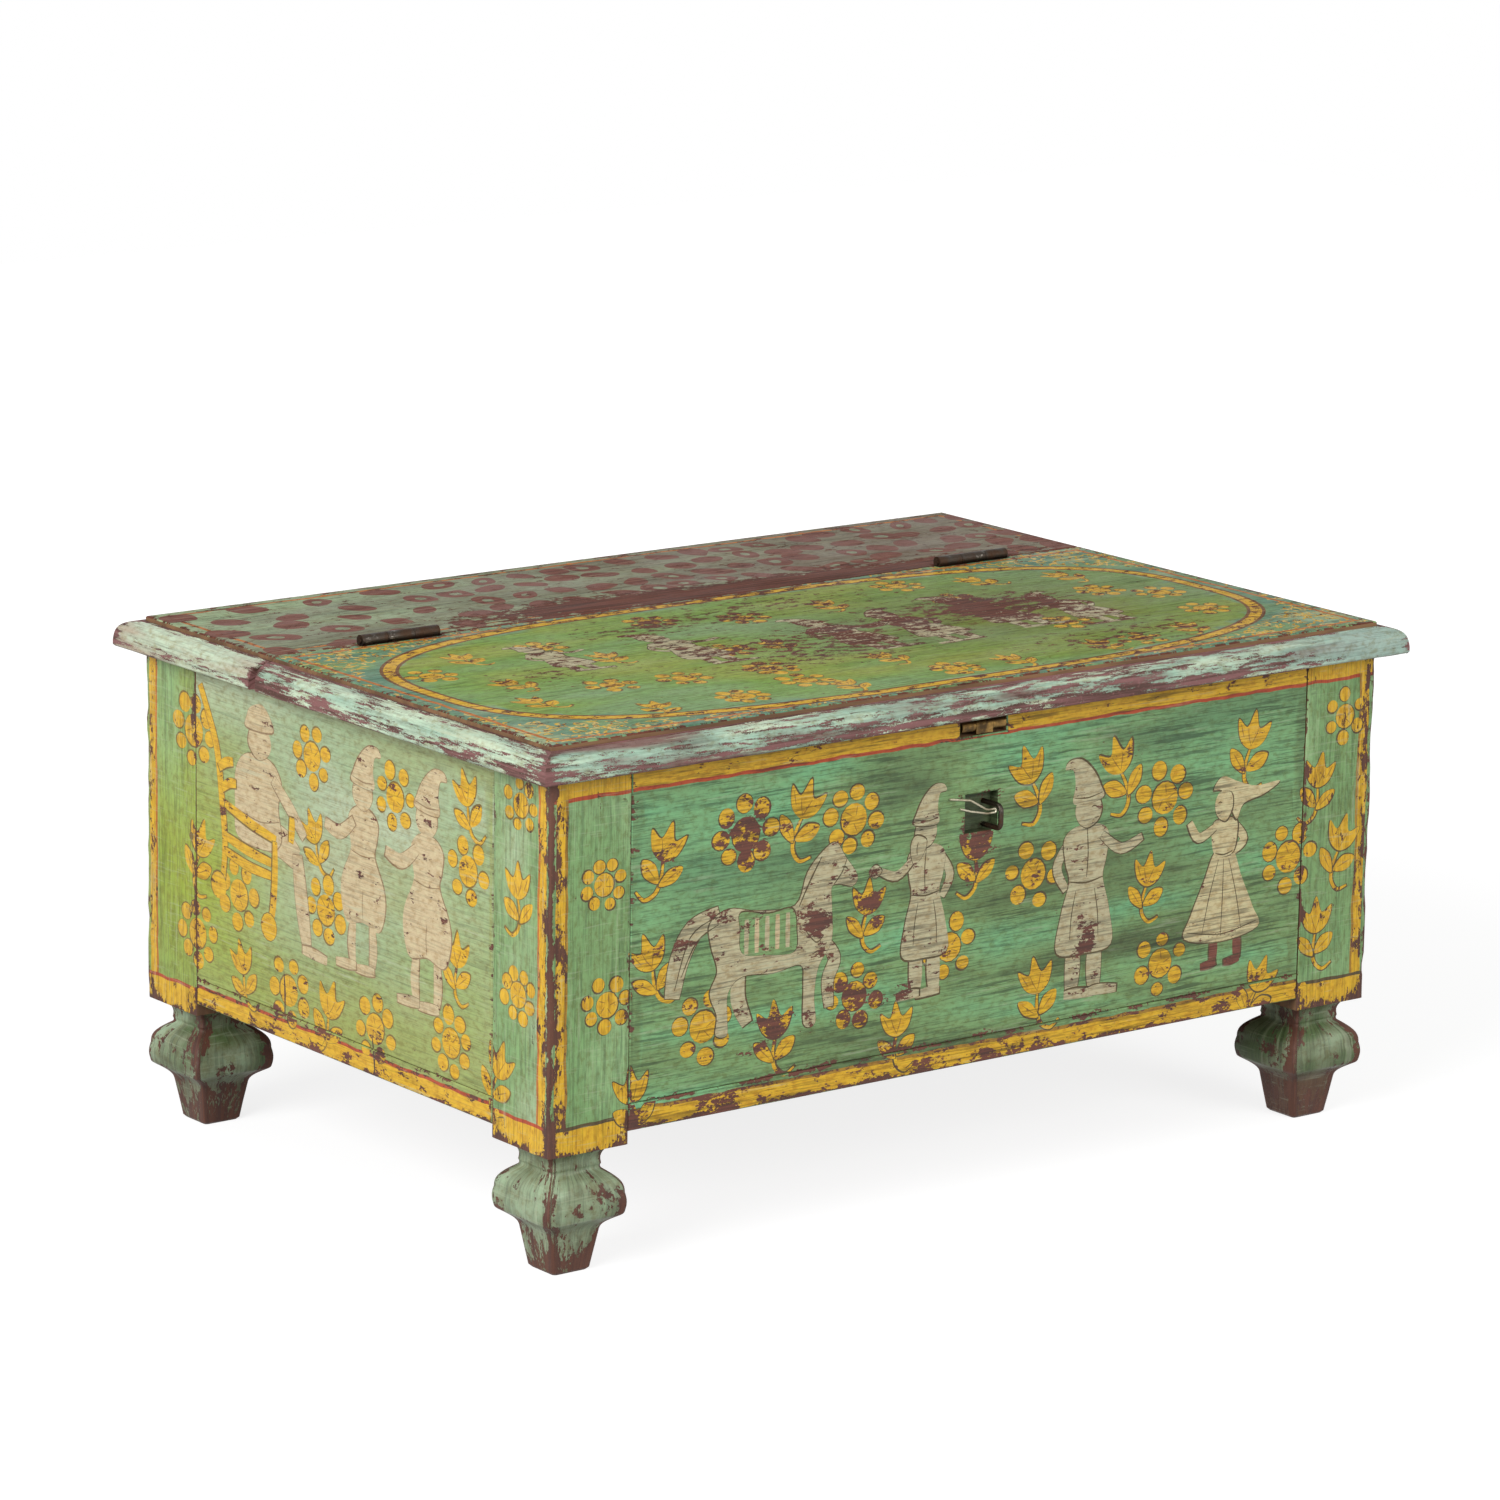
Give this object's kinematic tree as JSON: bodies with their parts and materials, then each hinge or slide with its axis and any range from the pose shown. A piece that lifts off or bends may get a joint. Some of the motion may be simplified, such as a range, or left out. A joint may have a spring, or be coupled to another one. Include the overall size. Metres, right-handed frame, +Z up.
{
  "type": "painted trunk",
  "caption": "Low wooden trunk on carved corner posts, with flush painted panels, a moulded top and a front lid hinged to a fixed rear board.",
  "frame": {"origin": "on the floor, in the middle of the footprint", "axes": "+X to the right along the front, -Y out of the front, +Z up"},
  "size_m": [0.89, 0.62, 0.438],
  "materials": {
    "painted_panel": "worn oil paint",
    "painted_post": "worn oil paint",
    "painted_top": "worn oil paint",
    "painted_moulding": "worn oil paint",
    "bare_wood": "bare",
    "iron": "dark, rubbed",
    "brass": "dull",
    "wire": "dull"
  },
  "bodies": {
    "carcase": {"post_front_left": "painted_post", "post_front_right": "painted_post", "post_rear_left": "painted_post", "post_rear_right": "painted_post", "front_panel": "painted_panel", "front_rail": "painted_panel", "front_bearer": "bare_wood", "rear_panel": "painted_panel", "rear_rail": "painted_panel", "rear_bearer": "bare_wood", "left_panel": "painted_panel", "left_rail": "painted_panel", "left_bearer": "bare_wood", "right_panel": "painted_panel", "right_rail": "painted_panel", "right_bearer": "bare_wood", "floor_board_1": "bare_wood", "floor_board_2": "bare_wood", "floor_board_3": "bare_wood", "floor_board_4": "bare_wood", "rear_top_board": "painted_top", "rear_moulding": "painted_moulding", "rear_left_moulding": "painted_moulding", "rear_right_moulding": "painted_moulding", "frame_pegs": "painted_post", "bearer_nails": "iron", "floor_nails": "iron", "rear_board_nails": "iron", "rear_brads": "iron", "rear_hinge_screws": "iron", "hinge_left_rear_leaf": "iron", "hinge_left_pin": "iron", "hinge_right_rear_leaf": "iron", "hinge_right_pin": "iron", "staple": "iron"},
    "lid": {"lid_panel": "painted_top", "lid_front_moulding": "painted_moulding", "lid_left_moulding": "painted_moulding", "lid_right_moulding": "painted_moulding", "lid_batten_left": "bare_wood", "lid_batten_right": "bare_wood", "batten_nails": "iron", "lid_brads": "iron", "lid_hinge_screws": "iron", "hinge_left_lid_leaf": "iron", "hinge_right_lid_leaf": "iron", "hasp_plate": "brass", "hasp_pin": "iron", "hasp_screws": "iron"},
    "stub": {"hasp_stub": "brass"},
    "wire": {"keeper_wire": "wire"}
  },
  "joints": [
    {"name": "lid_hinge", "type": "hinge", "parent": "carcase", "child": "lid", "pos_m": [0, 0.098, 0.433], "axis": [-1, 0, 0], "range_deg": [0, 180]},
    {"name": "stub_hinge", "type": "hinge", "parent": "lid", "child": "stub", "pos_m": [0, -0.2865, 0.3935], "axis": [-1, 0, 0], "range_deg": [-45, 85]},
    {"name": "wire_slide", "type": "slide", "parent": "carcase", "child": "wire", "axis": [-1, 0, 0], "range_m": [0, 0.025]}
  ]
}
